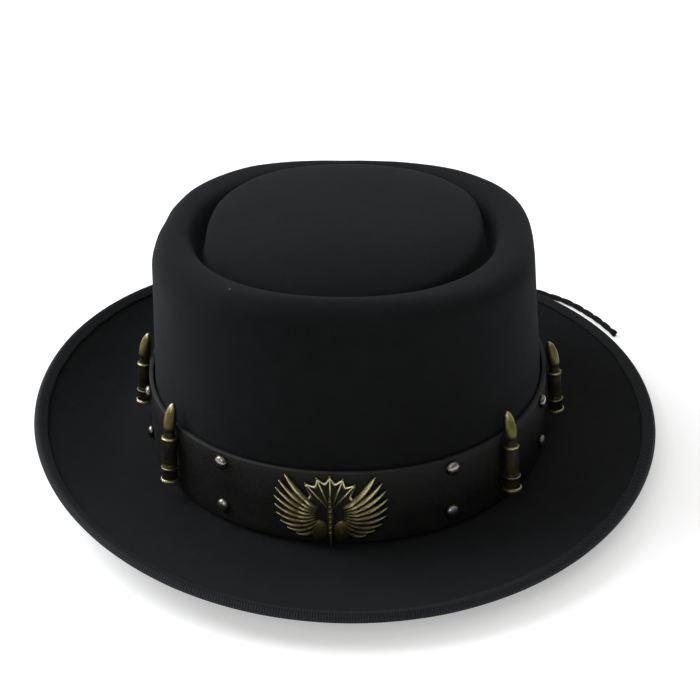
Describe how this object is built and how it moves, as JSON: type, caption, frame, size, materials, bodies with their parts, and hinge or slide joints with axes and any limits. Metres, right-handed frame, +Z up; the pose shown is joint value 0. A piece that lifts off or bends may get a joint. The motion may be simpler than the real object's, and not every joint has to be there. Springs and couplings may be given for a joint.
{
  "type": "porkpie hat",
  "caption": "Black felt porkpie hat with a sunken crown, curled bound brim, and a leather strap with rivets, cartridge-shaped studs, a winged badge and a lace tied at the back.",
  "frame": {"origin": "on the surface the hat rests on, under the middle of the brim", "axes": "+Z up, -Y is the front with the badge, +X is to the right as seen from the front"},
  "size_m": [0.2742, 0.3268, 0.1024],
  "materials": {
    "felt": "black wool felt with a short soft nap",
    "ribbon": "black ribbed grosgrain",
    "strap_leather": "matte black leather with raw edges",
    "antique_brass": "antique brass, dark in the recesses and bright on the ridges",
    "rivet_metal": "dark antique nickel, polished domes",
    "lace": "dark twisted lace"
  },
  "bodies": {
    "root": {"felt_body": "felt", "brim_binding": "ribbon", "hat_band": "strap_leather", "wing_badge": "antique_brass", "band_lace": "lace", "lace_tail": "lace", "rivet_right_1_top": "rivet_metal", "rivet_right_1_bottom": "rivet_metal", "rivet_right_2_top": "rivet_metal", "rivet_right_2_bottom": "rivet_metal", "rivet_right_3_top": "rivet_metal", "rivet_right_3_bottom": "rivet_metal", "rivet_right_4_top": "rivet_metal", "rivet_right_4_bottom": "rivet_metal", "cartridge_stud_right_1": "antique_brass", "cartridge_stud_right_2": "antique_brass", "cartridge_stud_right_3": "antique_brass", "rivet_left_1_top": "rivet_metal", "rivet_left_1_bottom": "rivet_metal", "rivet_left_2_top": "rivet_metal", "rivet_left_2_bottom": "rivet_metal", "rivet_left_3_top": "rivet_metal", "rivet_left_3_bottom": "rivet_metal", "rivet_left_4_top": "rivet_metal", "rivet_left_4_bottom": "rivet_metal", "cartridge_stud_left_1": "antique_brass", "cartridge_stud_left_2": "antique_brass", "cartridge_stud_left_3": "antique_brass"}
  },
  "joints": []
}
